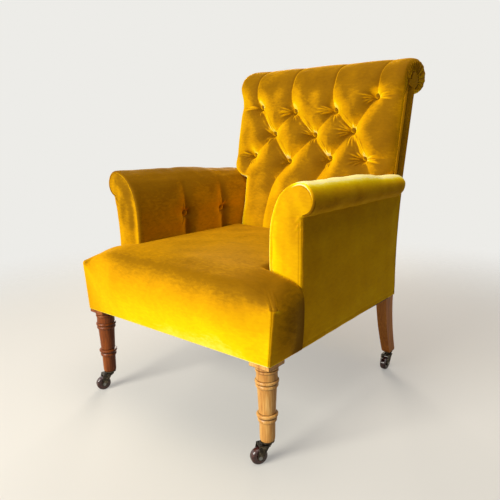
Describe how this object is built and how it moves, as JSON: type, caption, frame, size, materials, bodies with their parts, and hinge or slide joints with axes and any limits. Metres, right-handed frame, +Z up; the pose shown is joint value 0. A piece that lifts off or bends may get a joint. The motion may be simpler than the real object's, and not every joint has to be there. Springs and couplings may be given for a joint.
{
  "type": "button back armchair",
  "caption": "Low upholstered armchair with a deep buttoned scroll back, rolled arms, a sprung seat, turned front legs, raked rear legs and swivel castors.",
  "frame": {"origin": "on the floor, under the middle of the chair's box", "axes": "+Z up, -Y towards the front of the chair, +X to the sitter's left, which is the right in a view from the front"},
  "size_m": [0.658, 0.7668, 0.869],
  "materials": {
    "velvet": "golden yellow cut velvet with a soft nap",
    "leg_wood": "polished honey brown turned hardwood",
    "rear_leg_wood": "polished red brown hardwood",
    "frame_wood": "sawn pale beech",
    "brass": "aged dull brass",
    "china": "dark brown glazed china",
    "spring_steel": "plain drawn steel",
    "jute": "plain woven jute",
    "black_cloth": "thin matt black calico"
  },
  "bodies": {
    "chair": {"front_rail": "frame_wood", "back_rail": "frame_wood", "side_rail_left": "frame_wood", "side_rail_right": "frame_wood", "front_leg_left": "leg_wood", "front_leg_right": "leg_wood", "rear_upright_left": "rear_leg_wood", "rear_upright_right": "rear_leg_wood", "crest_rail": "frame_wood", "back_tacking_rail": "frame_wood", "arm_stump_left": "frame_wood", "arm_stump_right": "frame_wood", "arm_rail_left": "frame_wood", "arm_rail_right": "frame_wood", "arm_tacking_rail_left": "frame_wood", "arm_tacking_rail_right": "frame_wood", "corner_blocks": "frame_wood", "seat_webbing": "jute", "seat_springs": "spring_steel", "spring_hessian": "jute", "back_webbing": "jute", "arm_hessian_left": "jute", "arm_hessian_right": "jute", "bottom_cloth": "black_cloth", "seat_pad": "velvet", "seat_front": "velvet", "seat_border": "velvet", "back_pad": "velvet", "arm_pad_left": "velvet", "arm_pad_right": "velvet", "arm_front_left": "velvet", "arm_front_right": "velvet", "outside_arm_left": "velvet", "outside_arm_right": "velvet", "outside_back": "velvet", "back_border_left": "velvet", "back_border_right": "velvet", "scroll_cap_left": "velvet", "scroll_cap_right": "velvet", "back_buttons": "velvet", "arm_buttons_left": "velvet", "arm_buttons_right": "velvet", "castor_screws": "brass", "castor_plate_front_left": "brass", "castor_plate_front_right": "brass", "castor_plate_rear_left": "brass", "castor_plate_rear_right": "brass"},
    "swivel_front_left": {"castor_horn_front_left": "brass", "castor_axle_front_left": "spring_steel"},
    "wheel_front_left": {"castor_wheel_front_left": "china"},
    "swivel_front_right": {"castor_horn_front_right": "brass", "castor_axle_front_right": "spring_steel"},
    "wheel_front_right": {"castor_wheel_front_right": "china"},
    "swivel_rear_left": {"castor_horn_rear_left": "brass", "castor_axle_rear_left": "spring_steel"},
    "wheel_rear_left": {"castor_wheel_rear_left": "china"},
    "swivel_rear_right": {"castor_horn_rear_right": "brass", "castor_axle_rear_right": "spring_steel"},
    "wheel_rear_right": {"castor_wheel_rear_right": "china"}
  },
  "joints": [
    {"name": "swivel_front_left", "type": "hinge", "parent": "chair", "child": "swivel_front_left", "pos_m": [-0.272, -0.3389, 0.04], "axis": [0, 0, 1], "continuous": true},
    {"name": "roll_front_left", "type": "hinge", "parent": "swivel_front_left", "child": "wheel_front_left", "pos_m": [-0.27884, -0.35769, 0.018], "axis": [0.9397, -0.342, 0], "continuous": true},
    {"name": "swivel_front_right", "type": "hinge", "parent": "chair", "child": "swivel_front_right", "pos_m": [0.272, -0.3389, 0.04], "axis": [0, 0, 1], "continuous": true},
    {"name": "roll_front_right", "type": "hinge", "parent": "swivel_front_right", "child": "wheel_front_right", "pos_m": [0.262, -0.35622, 0.018], "axis": [0.866, -0.5, 0], "continuous": true},
    {"name": "swivel_rear_left", "type": "hinge", "parent": "chair", "child": "swivel_rear_left", "pos_m": [-0.276, 0.2261, 0.04], "axis": [0, 0, 1], "continuous": true},
    {"name": "roll_rear_left", "type": "hinge", "parent": "swivel_rear_left", "child": "wheel_rear_left", "pos_m": [-0.29258, 0.21492, 0.018], "axis": [0.5592, -0.829, 0], "continuous": true},
    {"name": "swivel_rear_right", "type": "hinge", "parent": "chair", "child": "swivel_rear_right", "pos_m": [0.276, 0.2261, 0.04], "axis": [0, 0, 1], "continuous": true},
    {"name": "roll_rear_right", "type": "hinge", "parent": "swivel_rear_right", "child": "wheel_rear_right", "pos_m": [0.276, 0.2061, 0.018], "axis": [1, 0, 0], "continuous": true}
  ]
}
